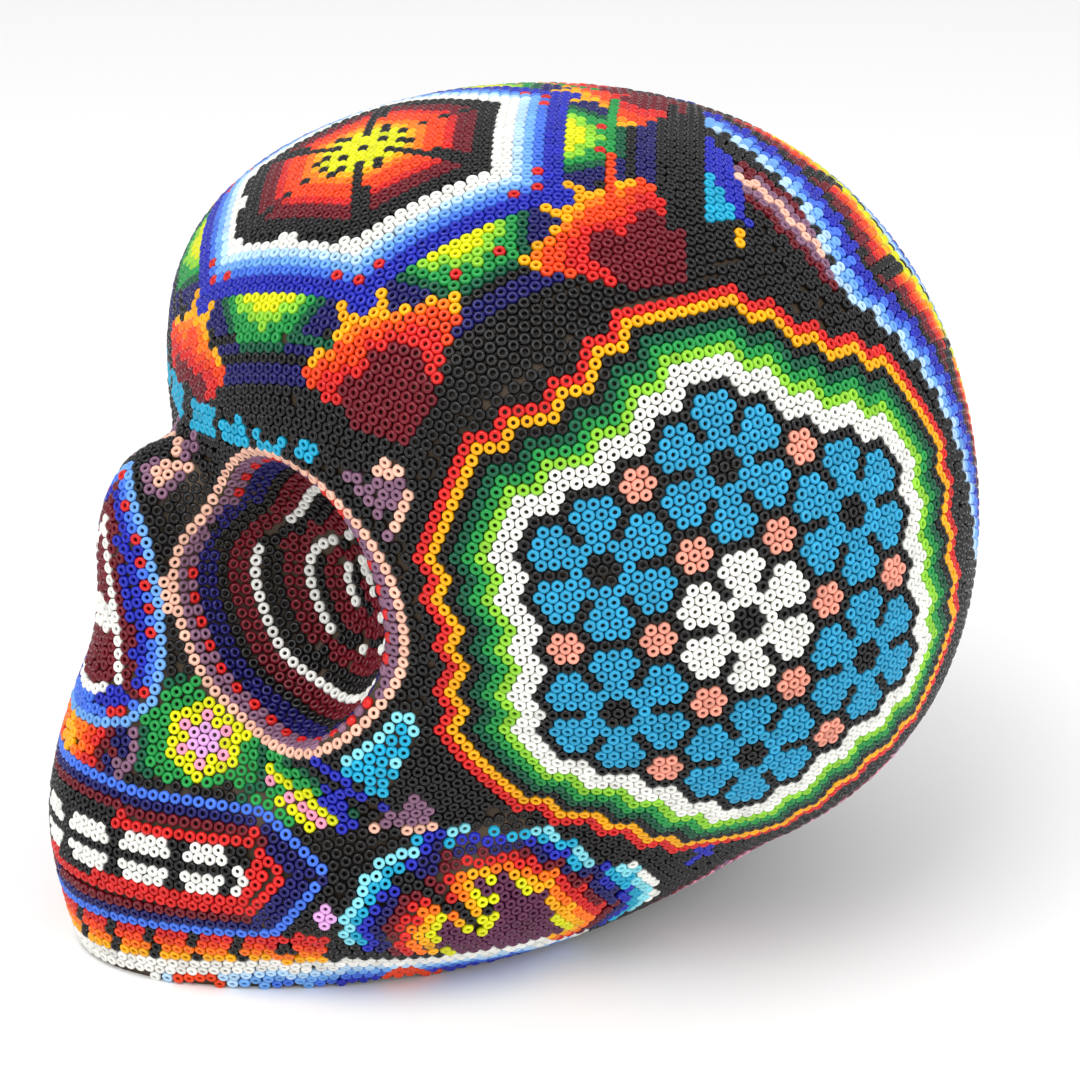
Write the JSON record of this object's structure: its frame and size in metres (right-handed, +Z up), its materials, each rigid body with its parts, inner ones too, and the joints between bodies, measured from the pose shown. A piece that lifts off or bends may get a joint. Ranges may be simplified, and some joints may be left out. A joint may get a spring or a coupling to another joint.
{
  "type": "beaded skull ornament",
  "caption": "Free-standing skull ornament with a hollow cast core, a coat of beeswax and fields of coloured glass seed beads pressed in with their holes facing out.",
  "frame": {"origin": "on the midline, in the plane of the flat base, half way along the skull's length", "axes": "+Z up, face towards -Y, the skull's own left side towards +X"},
  "size_m": [0.1526, 0.1732, 0.1479],
  "materials": {
    "cast_core": "matt, cast and left unpainted",
    "beeswax": "soft satin wax",
    "beads_black": "gloss",
    "beads_flowers": "gloss",
    "beads_bands": "gloss",
    "beads_flame": "gloss",
    "beads_blue": "gloss",
    "beads_green": "gloss",
    "beads_white": "gloss",
    "beads_wine": "gloss",
    "beads_turquoise": "gloss",
    "beads_mauve": "gloss"
  },
  "bodies": {
    "root": {"skull_core_left": "cast_core", "skull_core_right": "cast_core", "wax_coat": "beeswax", "rosette_flowers_left": "beads_flowers", "rosette_flowers_right": "beads_flowers", "rosette_bands_left": "beads_bands", "rosette_bands_right": "beads_bands", "crown_medallion": "beads_flame", "crown_blue_ring": "beads_blue", "crown_petals": "beads_green", "back_medallion": "beads_flame", "back_border": "beads_blue", "eye_socket_left": "beads_wine", "eye_socket_right": "beads_wine", "nose": "beads_wine", "mouth": "beads_white", "upper_lip": "beads_flame", "brow": "beads_turquoise", "cheek_left": "beads_mauve", "cheek_right": "beads_mauve", "cheek_arrow_left": "beads_turquoise", "cheek_arrow_right": "beads_turquoise", "temple_left": "beads_mauve", "temple_right": "beads_mauve", "chin_band": "beads_flame", "jaw_left": "beads_blue", "jaw_right": "beads_blue", "ground_left": "beads_black", "ground_right": "beads_black"}
  },
  "joints": []
}
